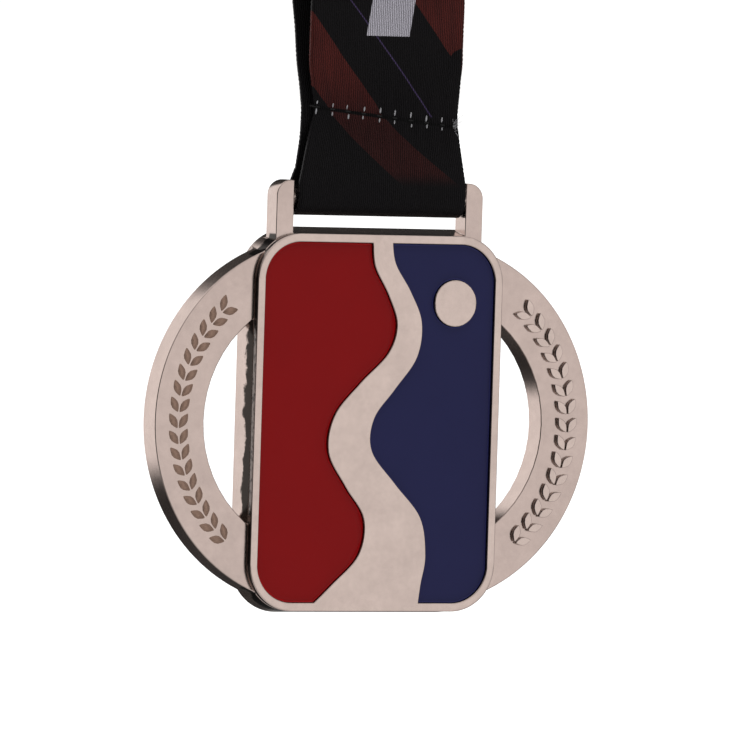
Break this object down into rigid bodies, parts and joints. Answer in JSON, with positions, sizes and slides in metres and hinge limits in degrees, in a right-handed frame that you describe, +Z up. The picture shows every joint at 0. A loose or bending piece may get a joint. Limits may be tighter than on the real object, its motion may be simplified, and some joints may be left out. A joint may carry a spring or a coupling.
{
  "type": "sports finisher medal",
  "caption": "Rectangular plaque with a winding road between two enamel fields, on a ring-shaped metal frame with curved ears, hung from a flat neck ribbon folded into a tied hank.",
  "frame": {"origin": "the point the ribbon hangs from, at the top of the folded ribbon", "axes": "+Z up along the hanging ribbon, -Y the medal's front, +X to the medal's right as seen from the front; the ribbon bar lies along X in the plane Y = 0"},
  "size_m": [0.0662, 0.013, 0.1557],
  "materials": {
    "satin_nickel": "satin nickel plate on a zinc casting",
    "red_enamel": "glossy soft enamel",
    "navy_enamel": "glossy soft enamel",
    "black_ribbon": "fine ribbed woven polyester with a printed band",
    "thread": "twisted sewing thread"
  },
  "bodies": {
    "ribbon": {"ribbon_loop": "black_ribbon", "ribbon_front_strap": "black_ribbon", "ribbon_back_strap": "black_ribbon", "ribbon_hank": "black_ribbon", "seam_thread": "thread", "hank_tie": "black_ribbon"},
    "medal": {"ring_frame": "satin_nickel", "front_plaque": "satin_nickel", "red_enamel": "red_enamel", "navy_enamel": "navy_enamel"}
  },
  "joints": [
    {"name": "medal_swing", "type": "hinge", "parent": "ribbon", "child": "medal", "pos_m": [0, 0, -0.099], "axis": [1, 0, 0], "range_deg": [-110, 110]}
  ]
}
